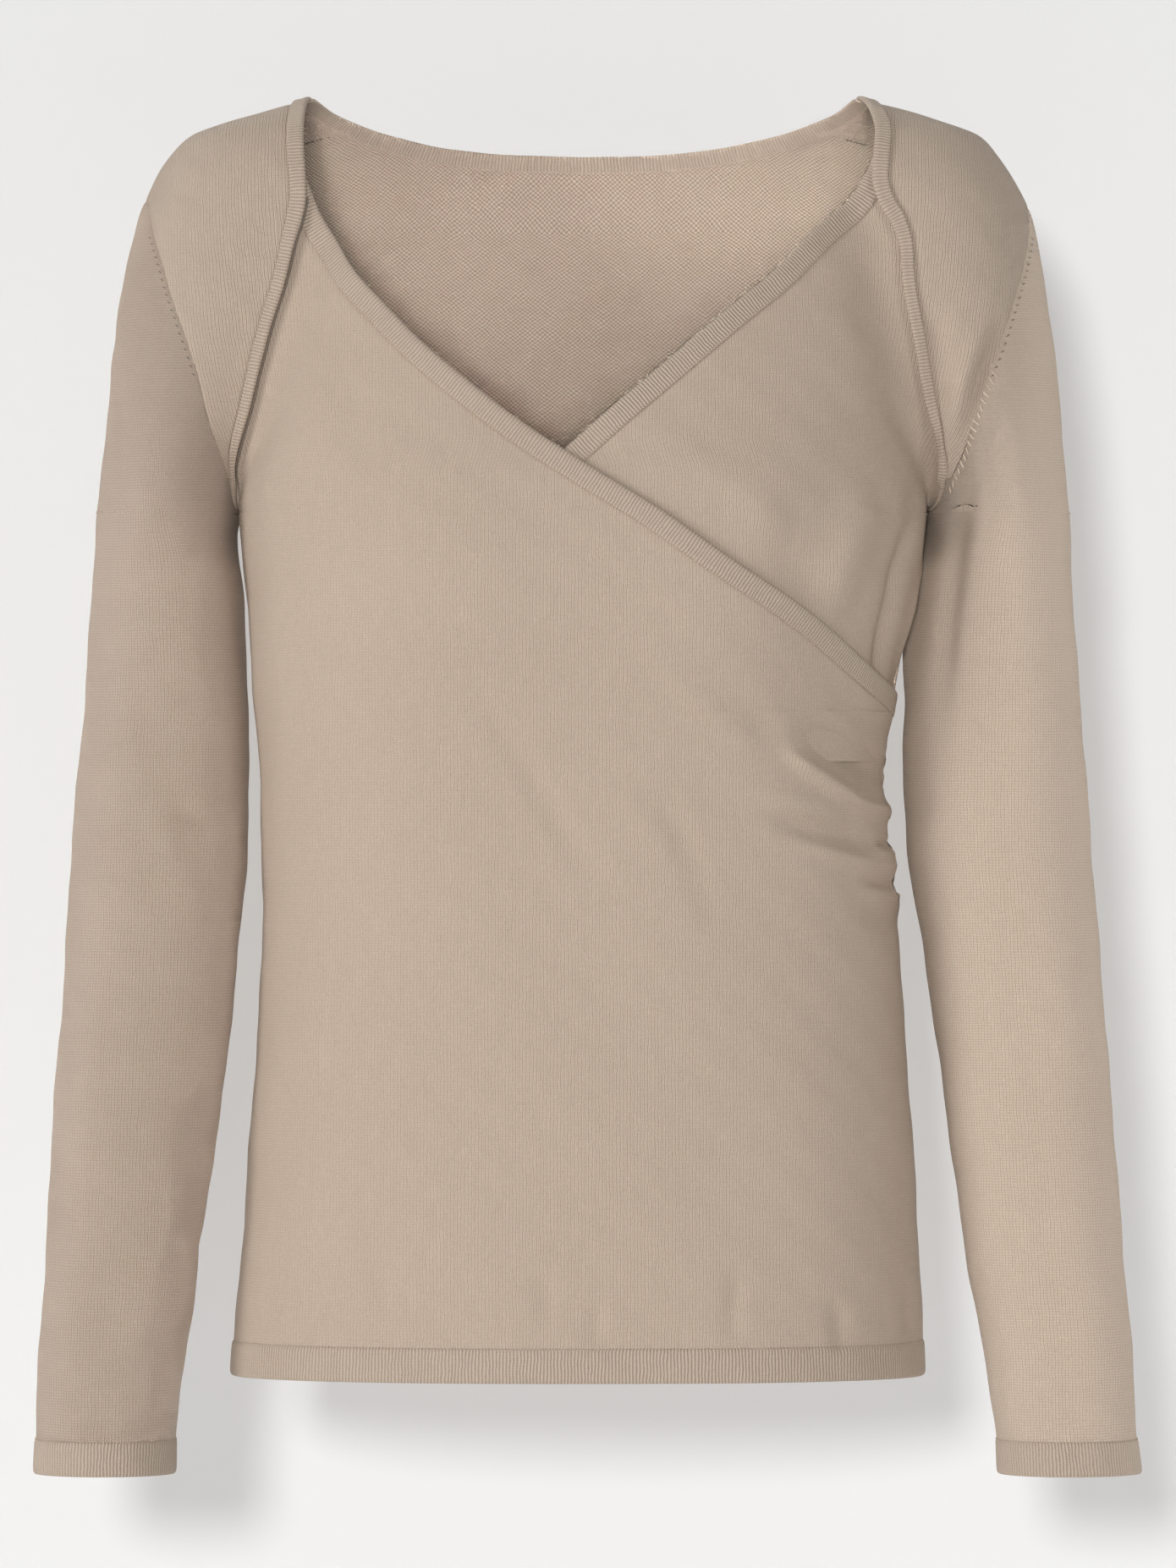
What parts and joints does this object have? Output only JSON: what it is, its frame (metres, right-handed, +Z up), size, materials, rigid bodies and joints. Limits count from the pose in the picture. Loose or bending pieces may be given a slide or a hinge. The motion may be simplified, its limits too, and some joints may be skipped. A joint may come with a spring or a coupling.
{
  "type": "silk sweater",
  "caption": "Long-sleeved wrap-front sweater in fine silk jersey, hollow as worn, open at the neck, hem and cuffs.",
  "frame": {"origin": "middle of the neck opening, level with the shoulder neck points, where the wearer's shoulders hold the sweater up", "axes": "+Z up, -Y the front of the sweater, +X the wearer's left"},
  "size_m": [0.5305, 0.1965, 0.6617],
  "materials": {
    "jersey": "fine silk jersey, beige, soft low sheen",
    "rib": "fine folded rib in the same yarn"
  },
  "bodies": {
    "root": {"back_panel": "jersey", "front_underlap": "jersey", "front_overlap": "jersey", "yoke_right": "jersey", "yoke_left": "jersey", "sleeve_right": "jersey", "sleeve_left": "jersey", "cuff_right": "rib", "cuff_left": "rib", "hem_band_front": "rib", "hem_band_back": "rib", "neck_band_overlap": "rib", "neck_band_underlap": "rib", "neck_band_back": "rib", "yoke_band_right": "rib", "yoke_band_left": "rib"}
  },
  "joints": []
}
